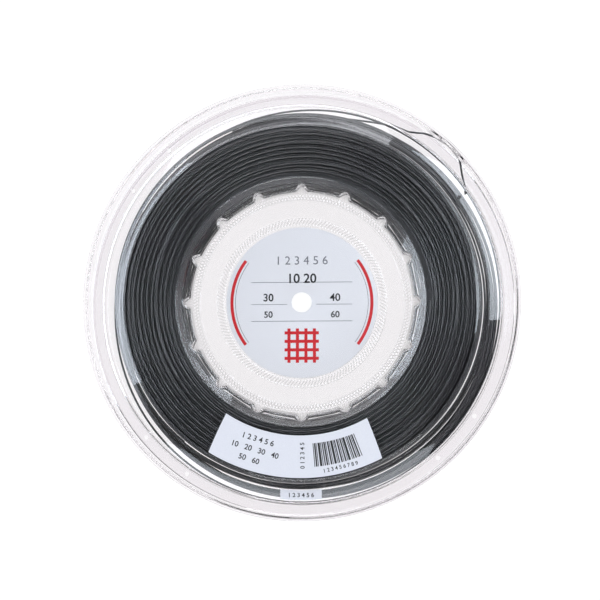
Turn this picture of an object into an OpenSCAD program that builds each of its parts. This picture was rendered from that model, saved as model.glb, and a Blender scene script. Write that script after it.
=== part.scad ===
// String reel: two clear formed shells welded back to back at a recessed hub,
// with racket string wound between them and its outer end laced through the rim.
// The spool axis is Z. The rear lip stands on z = 0 and the front looks up +Z.

/* [Sheet] */
// Thickness of the clear sheet that both shells are formed from
sheet_t = 1.2; // [0.8:0.1:1.5]

/* [Hub] */
// Diameter of the spindle bore
bore_d = 12.2; // [8:0.1:20]
// Diameter of the flat hub, to the foot of the drum wall on the string's side
hub_d = 138.6; // [128:0.2:160]
// Number of flutes round the foot of the drum wall
flute_count = 16; // [8:1:24]
// Radius of one flute on the open side of the shell
flute_r = 2.4; // [1.6:0.1:3]
// Radial width of each of the two weld bands
weld_w = 5; // [3:0.1:6]
// Depth of the weld bands below the hub's face
weld_depth = 0.2; // [0.1:0.05:0.4]
// Plain margin between a weld band and the edge that it follows
weld_margin = 1; // [0.5:0.1:2]

/* [Shell steps, from the hub outwards] */
// Radial run of the sloping drum wall
drum_run = 7; // [5:0.1:10]
// Radial width of the flat window over the wound string
window_w = 30.5; // [27:0.5:40]
// Radial run of the shoulder that slopes in from the window
shoulder_run = 6.6; // [5:0.1:10]
// Radial width of the flat band over the loose turns
band_w = 8; // [7:0.5:12]
// Radial run of the step from the band down to the skirt
step_run = 0.6; // [0.2:0.1:1.5]
// Radial width of the skirt where the string pays out
skirt_w = 8.6; // [8:0.1:12]
// Radial run of the rising lip
lip_run = 0.6; // [0.2:0.1:1.5]
// Radial width of the flange at the top of the lip
flange_w = 1.3; // [0.8:0.1:3]

/* [Spare lacing holes in the front skirt] */
// Diameter of each hole
spare_hole_d = 2.9; // [2:0.1:3.4]
// Distance of the holes' circle inside the foot of the lip
spare_hole_inset = 5; // [4:0.1:5.6]
// Angle between the two holes of a pair
spare_pair_span = 15.3; // [10:0.1:25]
// Direction of the first pair, which the others follow a quarter turn apart
spare_pair_angle = 138.6; // [120:0.1:150]

/* [Shell heights] */
// Gap between the two skirts that the string pays out through
skirt_gap = 3; // [2.6:0.1:4]
// Height of the step from the skirt up to the band
step_h = 4.1; // [3.5:0.1:6]
// Height of the shoulder from the band up to the window
shoulder_h = 5; // [4:0.1:7]
// Height of the lip from the skirt up to the flange
lip_h = 12.3; // [11.5:0.1:16]

/* [Label and stickers] */
// Diameter of the label card between the two hubs
card_d = 92.6; // [80:0.2:96]
// Thickness of the label card
card_t = 0.4; // [0.2:0.05:0.6]
// Thickness of both stickers
sticker_t = 0.15; // [0.1:0.05:0.3]
// Radial height of the curved sticker on the front window
sticker_h = 25.4; // [15:0.1:26]
// Angle that the curved sticker spans along its outer edge
sticker_span = 58.6; // [30:0.2:70]
// Angle that each end of the curved sticker gains towards its inner edge
sticker_flare = 2.1; // [0:0.1:4]
// Direction of the curved sticker's middle
sticker_angle = 268; // [200:1:340]
// Length of the small sticker on the front band
tag_w = 25; // [15:0.5:40]
// Radial height of the small sticker
tag_h = 6; // [3:0.1:7]
// Direction of the small sticker
tag_angle = 270; // [220:1:320]

/* [String] */
// Diameter of the string
string_d = 1.25; // [1.1:0.05:1.35]
// Loops of string shown on the front face of the winding
face_loops = 12; // [8:1:12]
// Loops of string shown on the outside of the winding
outer_loops = 6; // [4:1:6]
// Clear room left round the wound string
wound_clear = 0.3; // [0.3:0.05:0.5]
// Clear room on each side of the string where it is laced through a hole
lace_clear = 0.5; // [0.4:0.05:0.8]

/* [Hidden] */

round_fn = 96;
small_fn = 32;
spare_pairs = 3;

// The line of the sheet on the string's side, from the bore out to the flange.
bore_r = bore_d / 2;
hub_r = hub_d / 2;
skirt_z = skirt_gap / 2;
band_z = skirt_z + step_h;
window_z = band_z + shoulder_h;
flange_z = skirt_z + lip_h;
drum_top_r = hub_r + drum_run;
window_r = drum_top_r + window_w;
band_in_r = window_r + shoulder_run;
band_out_r = band_in_r + band_w;
skirt_in_r = band_out_r + step_run;
lip_r = skirt_in_r + skirt_w;
lip_top_r = lip_r + lip_run;
rim_r = lip_top_r + flange_w;
half_w = flange_z + sheet_t;
string_line = [[bore_r, 0], [hub_r, 0], [drum_top_r, window_z], [window_r, window_z],
               [band_in_r, band_z], [band_out_r, band_z], [skirt_in_r, skirt_z],
               [lip_r, skirt_z], [lip_top_r, flange_z], [rim_r, flange_z]];

function unit(v) = v / norm(v);
function left_of(v) = [-v[1], v[0]];
function last(list) = list[len(list) - 1];

// A line moved sideways by one thickness, with its corners mitred.
function raised(line, t) = [
    for (i = [0:len(line) - 1])
        let (before = unit(line[max(i, 1)] - line[max(i, 1) - 1]),
             next = min(i, len(line) - 2),
             after = unit(line[next + 1] - line[next]),
             normal = unit(left_of(before) + left_of(after)))
        line[i] + normal * t / (normal * left_of(before))
];

open_line = raised(string_line, sheet_t);
web_r = open_line[1][0];
window_edge_r = open_line[3][0];
band_edge_r = open_line[4][0];
window_face_z = window_z + sheet_t;
band_face_z = band_z + sheet_t;

// Weld bands follow the card inside and the drum wall outside.
card_r = card_d / 2;
card_room = 0.05;
weld_out_r = web_r - weld_margin;
weld_in_r = card_r + weld_margin + weld_w;

// Stickers lie on the sheet with a film of adhesive under them.
glue_t = 0.05;
sticker_margin = 0.3;
sticker_out_r = window_edge_r - sticker_margin;
sticker_in_r = sticker_out_r - sticker_h;
tag_in_r = band_edge_r + sticker_margin;

// Places of the wound string: the face spiral, the outer helix, the loose turns.
string_r = string_d / 2;
face_clear = 0.7;
face_margin = 0.6;
outer_lead = 2.6;
outer_spare = 0.7;
loose_margin = 0.2;
pay_out_lead = 1.3;
ring_steps = 24;
tube_sides = 6;
room = string_r + wound_clear;
face_z = window_z - face_clear - string_r;
wall_slant = norm([drum_run, window_z]) / window_z;
shoulder_slant = norm([shoulder_run, shoulder_h]);
function dip(r) = r * (1 - cos(180 / ring_steps));
function wall_at(z) = hub_r + drum_run * z / window_z;
face_in_r = (wall_at(face_z) + room * wall_slant) / cos(180 / ring_steps);
face_out_r = window_r - face_margin;
outer_r = window_r + outer_lead;
outer_z = window_z - outer_spare - (outer_lead * shoulder_h + room * shoulder_slant) / shoulder_run;
loose_in_r = band_in_r + loose_margin;
loose_out_r = skirt_in_r + pay_out_lead;
loose_z = band_z - room;
corner_loops = 0.5;
drop_loops = 0.5;
loose_loops = 4;
face_end = face_loops;
outer_start = face_end + corner_loops;
outer_end = outer_start + outer_loops;
loose_start = outer_end + drop_loops;
turns_end = loose_start + loose_loops;
pay_out_angle = 60;

// How far along each stretch of the winding u is, held between 0 and 1.
function part_of(u, from, to) = max(0, min(1, (u - from) / (to - from)));
function turn_r(u) = face_in_r
    + (face_out_r - face_in_r) * part_of(u, 0, face_end)
    + (outer_r - face_out_r) * part_of(u, face_end, outer_start)
    + (loose_in_r - outer_r) * part_of(u, outer_end, loose_start)
    + (loose_out_r - loose_in_r) * part_of(u, loose_start, turns_end);
function turn_z(u) = face_z
    + (outer_z - face_z) * part_of(u, face_end, outer_start)
    - 2 * outer_z * part_of(u, outer_start, outer_end)
    + (outer_z - loose_z) * part_of(u, outer_end, loose_start)
    + loose_z * part_of(u, loose_start, turns_end);
function at_angle(a, r, z) = [r * cos(a), r * sin(a), z];
function turn_point(u) =
    at_angle(pay_out_angle + 360 * (turns_end - u), turn_r(u), turn_z(u));
turn_path = [for (i = [0:turns_end * ring_steps]) turn_point(i / ring_steps)];

// The core keeps the room that the visible turns need on every side.
core_face_z = face_z - room;
core_r = outer_r - dip(outer_r) - room;
core_cut = 3;
core_in_r = web_r + flute_r + sheet_t + wound_clear;
core_wall = 2 * wound_clear * wall_slant;
core_in_z = max(1, (core_in_r - core_wall - hub_r) * window_z / drum_run);

// Route of the laced end: angle, distance outside the foot of the lip, height above the middle.
tail_route = [[60, -7.3, 0], [58, -6.6, 0], [56.4, -5.1, 0.5], [55, -3.8, 2.1],
              [53.6, -2.6, 3.9], [51.8, -1.3, 4.2], [50, -0.1, 4.3], [48, 1.1, 4.4],
              [46, 1.3, 4.4], [44.4, 1, 4.4], [42.6, 0.1, 4.3], [41, -1.6, 3.9],
              [39.5, -3.6, 2.1], [38, -5.4, 0.4], [36.2, -7.2, 0.2], [34.8, -8.9, 0.4],
              [33.6, -10.2, 2.6], [33, -11, 7.6]];
first_slot = 3;
second_slot = 12;
lip_holes = [6, 10];
tip_holes = [16, 17];
slot_l = 6;
lip_hole_l = 13;
twin_hole_gap = 2.4;
tail_sides = 8;
tail_steps = 2;
tail_points = [for (p = tail_route) at_angle(p[0], lip_r + p[1], p[2])];

// A smooth curve through the route's points.
function bend(a, b, c, d, t) = 0.5 * (2 * b + (c - a) * t
    + (2 * a - 5 * b + 4 * c - d) * t * t + (3 * b - a - 3 * c + d) * t * t * t);
function smooth(p, steps) = concat([
    for (i = [0:len(p) - 2], s = [0:steps - 1])
        bend(p[max(i - 1, 0)], p[i], p[i + 1], p[min(i + 2, len(p) - 1)], s / steps)
], [last(p)]);
tail_path = smooth(tail_points, tail_steps);

// One ring of points square to the path at its point i.
function ring(path, i, r, sides) =
    let (ahead = unit(path[min(i + 1, len(path) - 1)] - path[max(i - 1, 0)]),
         side = unit(cross(ahead, [0, 0, 1])),
         up = cross(side, ahead))
    [for (k = [0:sides - 1]) path[i] + r * (cos(360 * k / sides) * side + sin(360 * k / sides) * up)];

// The least room between any two stretches of a path that lie half a loop or more apart.
function least_gap(path, apart, d) = min([
    for (i = [0:len(path) - 1 - apart], j = [i + apart:len(path) - 1]) norm(path[i] - path[j])
]) - d;

module tube(path, r, sides) {
    rings = len(path);
    points = [for (i = [0:rings - 1]) each ring(path, i, r, sides)];
    walls = [for (i = [0:rings - 2], k = [0:sides - 1])
        let (a = i * sides + k, b = i * sides + (k + 1) % sides)
        each [[a, b, a + sides], [b, b + sides, a + sides]]];
    start_cap = [for (k = [1:sides - 2]) [0, k + 1, k]];
    base = (rings - 1) * sides;
    end_cap = [for (k = [1:sides - 2]) [base, base + k, base + k + 1]];
    polyhedron(points = points, faces = concat(walls, start_cap, end_cap));
}

module ring_cut(in_r, out_r, low_z, high_z) {
    translate([0, 0, low_z])
        difference() {
            cylinder(h = high_z - low_z, r = out_r, $fn = round_fn);
            translate([0, 0, -1])
                cylinder(h = high_z - low_z + 2, r = in_r, $fn = round_fn);
        }
}

// Upright cylinders standing on the foot of the drum wall.
module flutes(r, low_z, high_z) {
    for (i = [0:flute_count - 1])
        rotate([0, 0, 90 + 360 * i / flute_count])
            translate([web_r, 0, low_z])
                cylinder(h = high_z - low_z, r = r, $fn = small_fn);
}

// A formed half, with its welding face at z = 0 and its open side up.
module shell() {
    difference() {
        union() {
            rotate_extrude($fn = round_fn)
                polygon(concat(string_line, [for (i = [len(open_line) - 1:-1:0]) open_line[i]]));
            intersection() {
                rotate_extrude($fn = round_fn)
                    polygon([[web_r, 0], open_line[1], open_line[2], [open_line[2][0], 0]]);
                flutes(flute_r + sheet_t, 0, window_z);
            }
        }
        flutes(flute_r, sheet_t, window_z + 2 * sheet_t);
        translate([0, 0, -1])
            cylinder(h = 1 + card_t / 2 + card_room, r = card_r + 2 * card_room, $fn = round_fn);
        ring_cut(weld_in_r - weld_w, weld_in_r, sheet_t - weld_depth, sheet_t + 1);
        ring_cut(weld_out_r - weld_w, weld_out_r, sheet_t - weld_depth, sheet_t + 1);
    }
}

// A slot through the skirt, along the laced end at route point i.
module skirt_slot(i) {
    along = tail_points[i + 1] - tail_points[i - 1];
    w = string_d + 2 * lace_clear;
    translate([tail_points[i][0], tail_points[i][1], skirt_z - 1])
        rotate([0, 0, atan2(along[1], along[0])]) {
            for (side = [-1, 1])
                translate([side * (slot_l - w) / 2, 0, 0])
                    cylinder(h = sheet_t + 2, d = w, $fn = small_fn);
            translate([-(slot_l - w) / 2, -w / 2, 0])
                cube([slot_l - w, w, sheet_t + 2]);
        }
}

// A round hole through the lip, along the laced end at route point i.
module lip_hole(i) {
    along = tail_points[i + 1] - tail_points[i - 1];
    translate(tail_points[i])
        rotate([0, 90, atan2(along[1], along[0])])
            cylinder(h = lip_hole_l, d = string_d + 2 * lace_clear, center = true, $fn = small_fn);
}

// Upright holes through the skirt, in pairs, for lacing the end elsewhere round the rim.
module spare_holes() {
    for (quarter = [0:spare_pairs - 1], side = [-1, 1])
        rotate([0, 0, spare_pair_angle + 90 * quarter + side * spare_pair_span / 2])
            translate([lip_r - spare_hole_inset, 0, skirt_z - 1])
                cylinder(h = sheet_t + 2, d = spare_hole_d, $fn = small_fn);
}

// Two upright holes through the band, the first of which the string's tip stands in.
module tip_holes() {
    middle = (tail_points[tip_holes[0]] + 2 * tail_points[tip_holes[1]]) / 3;
    inwards = unit([middle[0], middle[1]]);
    for (shift = [0, string_d + 2 * lace_clear + twin_hole_gap])
        translate([middle[0] - inwards[0] * shift, middle[1] - inwards[1] * shift, band_z - 1])
            cylinder(h = sheet_t + 2, d = string_d + 2 * lace_clear, $fn = small_fn);
}

module front_shell() {
    color([0.90, 0.91, 0.93, 0.45])
        translate([0, 0, half_w])
            difference() {
                shell();
                skirt_slot(first_slot);
                skirt_slot(second_slot);
                for (i = lip_holes)
                    lip_hole(i);
                tip_holes();
                spare_holes();
            }
}

module rear_shell() {
    color([0.84, 0.86, 0.89, 0.45])
        translate([0, 0, half_w])
            mirror([0, 0, 1])
                shell();
}

module label_card() {
    color([0.87, 0.89, 0.93])
        translate([0, 0, half_w - card_t / 2])
            difference() {
                cylinder(h = card_t, r = card_r, $fn = round_fn);
                translate([0, 0, -1])
                    cylinder(h = card_t + 2, r = bore_r, $fn = round_fn);
            }
}

// A curved banner with straight ends, lying on the front window.
module product_sticker() {
    low = sticker_angle - sticker_span / 2;
    high = sticker_angle + sticker_span / 2;
    wide = 1.3 * sticker_out_r;
    color([0.93, 0.95, 0.98])
        translate([0, 0, half_w + window_face_z + glue_t])
            intersection() {
                ring_cut(sticker_in_r, sticker_out_r, 0, sticker_t);
                translate([0, 0, -1])
                    linear_extrude(height = sticker_t + 2)
                        polygon([for (p = [[low - sticker_flare, sticker_in_r], [low, sticker_out_r],
                                           [low + sticker_span / 4, wide], [high - sticker_span / 4, wide],
                                           [high, sticker_out_r], [high + sticker_flare, sticker_in_r]])
                                 [p[1] * cos(p[0]), p[1] * sin(p[0])]]);
            }
}

// A short strip with straight ends, lying on the front band.
module date_sticker() {
    color([0.95, 0.95, 0.95])
        translate([0, 0, half_w + band_face_z + glue_t])
            intersection() {
                ring_cut(tag_in_r, tag_in_r + tag_h, 0, sticker_t);
                rotate([0, 0, tag_angle])
                    translate([0, -tag_w / 2, -1])
                        cube([rim_r, tag_w, sticker_t + 2]);
            }
}

// Plain core of the wound string, inside the turns that show.
module string_pack() {
    color([0.09, 0.09, 0.10])
        translate([0, 0, half_w])
            rotate_extrude($fn = round_fn)
                polygon([[core_in_r, -core_in_z], [wall_at(core_face_z) + core_wall, -core_face_z],
                         [core_r - core_cut, -core_face_z], [core_r, core_cut - core_face_z],
                         [core_r, core_face_z - core_cut], [core_r - core_cut, core_face_z],
                         [wall_at(core_face_z) + core_wall, core_face_z], [core_in_r, core_in_z]]);
}

// The turns that show: a spiral on the face, a helix outside it, and loose turns in the channel.
module string_turns() {
    echo(least_gap_between_turns_mm = least_gap(turn_path, ring_steps / 2, string_d));
    color([0.13, 0.13, 0.15])
        translate([0, 0, half_w])
            tube(turn_path, string_r, tube_sides);
}

// The outer end of the string, laced through the front skirt and lip.
module string_tail() {
    color([0.16, 0.16, 0.18])
        translate([0, 0, half_w])
            tube(tail_path, string_r, tail_sides);
}

front_shell();
rear_shell();
label_card();
product_sticker();
date_sticker();
string_pack();
string_turns();
string_tail();
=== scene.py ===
import math

import bmesh
import bpy
from mathutils import Matrix, Vector


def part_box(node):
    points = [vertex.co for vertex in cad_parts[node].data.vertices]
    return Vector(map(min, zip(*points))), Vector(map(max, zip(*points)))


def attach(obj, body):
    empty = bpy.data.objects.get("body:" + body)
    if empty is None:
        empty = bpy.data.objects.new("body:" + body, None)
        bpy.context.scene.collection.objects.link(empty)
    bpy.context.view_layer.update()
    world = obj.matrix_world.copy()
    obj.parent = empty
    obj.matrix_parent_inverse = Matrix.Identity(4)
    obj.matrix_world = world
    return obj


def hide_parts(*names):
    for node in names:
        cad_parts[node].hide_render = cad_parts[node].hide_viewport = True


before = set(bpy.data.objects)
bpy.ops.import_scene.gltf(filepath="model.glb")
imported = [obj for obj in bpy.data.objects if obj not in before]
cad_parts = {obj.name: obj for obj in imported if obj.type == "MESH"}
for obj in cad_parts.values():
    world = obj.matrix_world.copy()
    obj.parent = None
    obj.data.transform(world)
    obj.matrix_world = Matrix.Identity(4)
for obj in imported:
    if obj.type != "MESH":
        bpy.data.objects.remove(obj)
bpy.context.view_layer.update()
mm = 0.001
fullTurn = 2 * math.pi
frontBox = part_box("front_shell")
midHeight = frontBox[0].z            # the plane that the two shells are welded in
rimRadius = frontBox[1].x
print("frame loaded, rim radius", round(rimRadius / mm, 1), "mm")

mergeDistance = 0.002 * mm
slack = 0.001                        # millimetres within which two sizes are the same


def addNode(tree, kind, inputs=None, **settings):  # a node among the inputs stands for its first output
    made = tree.nodes.new(kind)
    for key, value in settings.items():
        setattr(made, key, value)
    for key, value in (inputs or {}).items():
        if isinstance(value, bpy.types.Node):
            value = value.outputs[0]
        if isinstance(value, bpy.types.NodeSocket):
            tree.links.new(value, made.inputs[key])
        else:
            made.inputs[key].default_value = value
    return made


def addMath(tree, operation, *values):
    return addNode(tree, "ShaderNodeMath", dict(enumerate(values)), operation=operation)


def addRange(tree, value, low, high, start=0.0, end=1.0, **settings):  # from low at start to high at end
    inputs = {"Value": value, "From Min": start, "From Max": end, "To Min": low, "To Max": high}
    return addNode(tree, "ShaderNodeMapRange", inputs, **settings)


def newGroup(name, kind, inputs, outputs):  # values by name, and None where the name is the socket's kind
    group = bpy.data.node_groups.new(name, kind + "NodeTree")
    for way, sockets in (("INPUT", inputs), ("OUTPUT", outputs)):
        for words, value in sockets.items():
            socketKind = "NodeSocket" + {float: "Float", int: "Int"}.get(type(value), words)
            socket = group.interface.new_socket(words, in_out=way, socket_type=socketKind)
            if value is not None:
                socket.default_value = value
    return group, addNode(group, "NodeGroupInput").outputs


def placeObject(name, data):
    piece = bpy.data.objects.new(name, data)
    bpy.context.collection.objects.link(piece)
    return piece


def meshObject(name, points, faces, sharpAngle=None, edges=()):
    mesh = bpy.data.meshes.new(name)
    mesh.from_pydata(points, edges, faces)
    piece = placeObject(name, mesh)
    if faces:
        finishNormals(piece, sharpAngle)
    return piece


def finishNormals(piece, sharpAngle=None):
    work = bmesh.new()
    work.from_mesh(piece.data)
    bmesh.ops.remove_doubles(work, verts=work.verts, dist=mergeDistance)
    bmesh.ops.recalc_face_normals(work, faces=work.faces)
    work.to_mesh(piece.data)
    work.free()
    if sharpAngle:
        piece.data.shade_smooth()
        piece.data.set_sharp_from_angle(angle=math.radians(sharpAngle))


def settle(piece):  # turns modifiers into plain mesh
    graph = bpy.context.evaluated_depsgraph_get()
    mesh = bpy.data.meshes.new_from_object(piece.evaluated_get(graph), depsgraph=graph)
    piece.modifiers.clear()
    piece.data = mesh
    return piece


def dress(piece, material, nodes=()):
    piece.data.materials.clear()
    piece.data.materials.append(material)
    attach(piece, "root")
    if nodes:
        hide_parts(*nodes)


def aboveWeld(points):  # from millimetres above the welded plane to metres in the frame
    return [Vector(p) * mm + Vector((0, 0, midHeight)) for p in points]


def around(turn, radius, height=0.0):  # turn in radians
    return Vector((radius * math.cos(turn), radius * math.sin(turn), height))


shot = {
    "distance": 1.0,         # metres from the middle of the front lip
    "frameWidth": 0.3621,    # metres across the picture in the plane of the front lip
    "tilt": 7.0,             # degrees off the spool axis
    "towards": -55.0,        # side that it leans to, degrees from +X
    "clip": (0.05, 20),
}


def makeCamera(spec):
    tilt = math.radians(spec["tilt"])
    back = around(math.radians(spec["towards"]), math.sin(tilt), math.cos(tilt))
    right = Vector((0, 1, 0)).cross(back).normalized()
    lens = bpy.data.cameras.new("overheadCamera")
    lens.lens = lens.sensor_width * spec["distance"] / spec["frameWidth"]
    lens.clip_start, lens.clip_end = spec["clip"]
    camera = placeObject("overheadCamera", lens)
    spot = Vector((0, 0, frontBox[1].z)) + back * spec["distance"]
    turned = Matrix((right, back.cross(right), back)).transposed().to_4x4()
    camera.matrix_world = Matrix.Translation(spot) @ turned
    bpy.context.scene.camera = camera


makeCamera(shot)
print("camera set")


def grainGroup():
    inputs = {"Vector": None, "Scale": 100.0, "Detail": 3.0, "Low": 0.0, "High": 1.0}
    group, given = newGroup("surfaceGrain", "Shader", inputs, {"Value": 0.0})
    noise = addNode(group, "ShaderNodeTexNoise", {key: given[key] for key in ("Vector", "Scale", "Detail")})
    spread = addRange(group, noise, given["Low"], given["High"], start=0.3, end=0.7)
    addNode(group, "NodeGroupOutput", {"Value": spread})
    return group


surfaceGrain = grainGroup()
glossFineness = 2.3          # uneven gloss is this much finer than the mottled colour


def addGrain(tree, scale, low, high, detail=3.0):
    place = addNode(tree, "ShaderNodeTexCoord").outputs["Object"]
    return addNode(tree, "ShaderNodeGroup", {
        "Vector": place, "Scale": scale, "Detail": detail, "Low": low, "High": high},
        node_tree=surfaceGrain)


def addMix(tree, factor, first, second):  # sockets 6 and 7 are the colours A and B
    return addNode(tree, "ShaderNodeMix", {0: factor, 6: first, 7: second}, data_type="RGBA").outputs[2]


def addTint(tree, factor, dark, light):
    return addMix(tree, factor, (*dark, 1), (*light, 1))


def newMaterial(name):
    material = bpy.data.materials.new(name)
    material.use_nodes = True
    tree = material.node_tree
    tree.nodes.clear()
    return material, tree


def addBump(tree, height, distance):
    return addNode(tree, "ShaderNodeBump", {"Height": height, "Distance": distance})


def finishMixed(tree, share, first, second):  # shows a mix of two shaders
    mixed = addNode(tree, "ShaderNodeMixShader", {0: share, 1: first, 2: second})
    addNode(tree, "ShaderNodeOutputMaterial", {"Surface": mixed})


clearLook = {
    "tint": (0.993, 0.981, 0.989),         # what each face of the sheet lets through
    "shadeMarkTint": (0.12, 0.12, 0.13),     # what the sheet lets through where shade is painted: the welds' strokes, round the hub's edge and the rim's fine lines
    "rimShadeTint": (0.915, 0.897, 0.911),  # the same in the drawn rim, darker as painted shade that outlines it
    "gloss": 0.9,                          # its reflections come from the coat
    "thinnedGloss": 0.1,
    "roughness": 0.012,
    "shadeMarkRoughness": 0.05,
    "ior": 1.16,                           # a thin sheet bends light little
    "waveScale": 55,                       # slow waves left by forming the sheet
    "waveDetail": 2,
    "waveHeight": 0.03 * mm,
    "haze": (0.985, 0.985, 0.99),          # how much lamp light passes a sheet's face
}


def clearSheetMaterial(look):
    material, tree = newMaterial("clearSheet")
    wave = addGrain(tree, look["waveScale"], 0, 1, look["waveDetail"])
    shadeMarks, thinnedAndShaded = (addNode(tree, "ShaderNodeAttribute", attribute_name=words).outputs["Fac"]
                        for words in ("shadeMarks", "thinnedAndShaded"))
    # the sheet's own tint, darkened where shade is painted on the marks
    tint = addTint(tree, shadeMarks, look["tint"], look["shadeMarkTint"])
    # the drawn rim's tint, darker as painted shade that outlines the rim, with the same painted shade on the
    # marks
    drawn = addTint(tree, shadeMarks, look["rimShadeTint"], look["shadeMarkTint"])
    shine = addNode(tree, "ShaderNodeBsdfPrincipled", {
        "Base Color": addMix(tree, thinnedAndShaded, tint, drawn),
        "Roughness": addRange(tree, shadeMarks, look["roughness"], look["shadeMarkRoughness"]),
        "IOR": look["ior"], "Transmission Weight": 1.0,
        "Coat Weight": addRange(tree, thinnedAndShaded, look["gloss"], look["thinnedGloss"]),
        "Coat Roughness": look["roughness"], "Normal": addBump(tree, wave, look["waveHeight"])})
    through = addNode(tree, "ShaderNodeBsdfTransparent", {"Color": (*look["haze"], 1)})
    path = addNode(tree, "ShaderNodeLightPath").outputs
    finishMixed(tree, addMath(tree, "MAXIMUM", path["Is Shadow Ray"], path["Is Diffuse Ray"]), shine, through)
    return material


def plainMaterial(name, dark, light, scale, roughness, bumpHeight, ior=1.5, coat=0.0, uneven=0.06):
    # a solid finish with mottled colour, uneven gloss and a fine relief in millimetres
    material, tree = newMaterial(name)
    mottle = addGrain(tree, scale, 0, 1)
    gloss = addGrain(tree, scale * glossFineness, roughness - uneven, roughness + uneven)
    shine = addNode(tree, "ShaderNodeBsdfPrincipled", {
        "Base Color": addTint(tree, mottle, dark, light), "Roughness": gloss, "IOR": ior,
        "Coat Weight": coat, "Normal": addBump(tree, mottle, bumpHeight * mm)})
    addNode(tree, "ShaderNodeOutputMaterial", {"Surface": shine})
    return material


# Both shells are formed from one sheet. Sizes are in millimetres, from the spool axis and the welded plane.
sheet = {
    "thick": 1.2,
    "boreRadius": 6.1,
    "cardRadius": 46.5,      # pocket for the label card
    "cardRoom": 0.26,
    "weldGap": 0.03,
    "weldEdge": 66.9,        # the string's side has more points outside it
    "corners": (             # radius and height on the string's side, way it bends, pieces to the next corner
        (69.3, 0.0, "up", 12),
        (76.3, 10.6, "down", 3),
        (107.8, 10.6, "down", 2),
        (113.9, 5.7, "up", 1),
        (121.4, 5.0, "down", 1),
        (122.0, 1.5, "up", 2),
        (130.6, 1.5, "up", 3),
        (131.2, 13.8, "down", 1)),
    "drawnFrom": 121.5,      # from this radius out the sheet is drawn thin and less glossy, and a darker tint is painted on it as shade that outlines the rim
    "hubEdgeShade": {             # painted shade lines round the hub's edge: height, reach and depth (how dark)
        True: ((1.6, 0.55, 0.55), (4.4, 0.6, 0.3), (6.6, 0.6, 0.2)),    # on the open side
        False: ((0.9, 1.3, 0.8), (4.6, 0.7, 0.3))},                     # on the string's side
    "rimShadeLines": (            # fine lines of painted shade on the drawn rim: radius, height and depth (how dark)
        (122.3, 6.0, 0.42), (129.45, 2.7, 0.1), (130.05, 15.0, 0.2), (132.5, 14.4, 0.22)),
    "lineReach": 0.3,
    "boreBends": (0.25, 0.1),
    "tightBend": 0.8,        # bend on the hollow side of the sheet
    "wideBend": 2.0,         # bend on its other side
    "edgeBend": 0.35,
    "bendSteps": 6,
    "sharpAngle": 32,
    "webPoints": 128,
    "outerPoints": 256,
}
knurl = {
    "bands": (               # inner and outer radius, points round, ways of the strokes
        (47.3, 52.3, 624, (1,)), (62.5, 67.5, 816, (1, -1))),
    "rows": 6,
    "pitch": 4,              # points from one stroke to the next
    "slope": 0.1,            # width of each band's step
    "depth": 0.2,
    "height": 0.32,
    "strokeShade": 0.62,            # how dark the painted shade in the pressed strokes is
}
flutes = {
    "count": 16,
    "start": 90.0,           # direction of the first one
    "open": {"reach": 3.3, "width": 3.6, "ramp": (1.1, 0.45)},     # on the shell's open side
    "string": {"reach": 3.4, "width": 4.7, "ramp": (2.4, 1.1)},    # on the string's side
    "rounding": 0.8,         # power that the flutes' cosine shape is raised to
    "softness": 0.35,
    "drawIn": 0.6,           # how much the foot draws in between two flutes
    "pushOut": 0.3,
    "fade": 4.0,             # distance up the wall over which that fades
    "points": 960,
}


def openLine(line, thick):  # the line moved sideways by the sheet's thickness, with mitred corners
    moved = []
    for i, point in enumerate(line):
        ahead = line[min(i + 1, len(line) - 1)] - line[min(i, len(line) - 2)]
        behind = line[max(i, 1)] - line[max(i, 1) - 1]
        sides = [Vector((-step.y, step.x)).normalized() for step in (behind, ahead)]
        normal = (sides[0] + sides[1]).normalized()
        moved.append(point + normal * thick / normal.dot(sides[0]))
    return moved


def roundCorner(before, corner, after, bend, steps):
    toBefore, toAfter = (before - corner).normalized(), (after - corner).normalized()
    half = math.acos(max(-1.0, min(1.0, toBefore.dot(toAfter)))) / 2
    centre = corner + (toBefore + toAfter).normalized() * bend / math.sin(half)
    spoke = corner + toBefore * bend / math.tan(half) - centre
    turnsLeft = toBefore.x * toAfter.y - toBefore.y * toAfter.x < 0
    sweep = (math.pi - 2 * half) * (1 if turnsLeft else -1)
    return [centre + Matrix.Rotation(sweep * i / steps, 2) @ spoke for i in range(steps + 1)]


def roundedOutline(corners, steps):  # corners are (radius, height, bend, pieces to the next one)
    places = [Vector(corner[:2]) for corner in corners]
    rounded = [[place] if not corner[2] else roundCorner(
        places[i - 1], place, places[(i + 1) % len(places)], corner[2], steps)
        for i, (place, corner) in enumerate(zip(places, corners))]
    outline = []
    for i, stretch in enumerate(rounded):
        pieces = corners[i][3]
        ahead = rounded[(i + 1) % len(rounded)][0]
        outline += stretch + [stretch[-1].lerp(ahead, k / pieces) for k in range(1, pieces)]
    return outline


def shellLines():
    line = [Vector((sheet["boreRadius"], 0))]
    line += [Vector(corner[:2]) for corner in sheet["corners"]]
    line.append(Vector((rimRadius / mm, line[-1].y)))
    return line, openLine(line, sheet["thick"])


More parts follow.
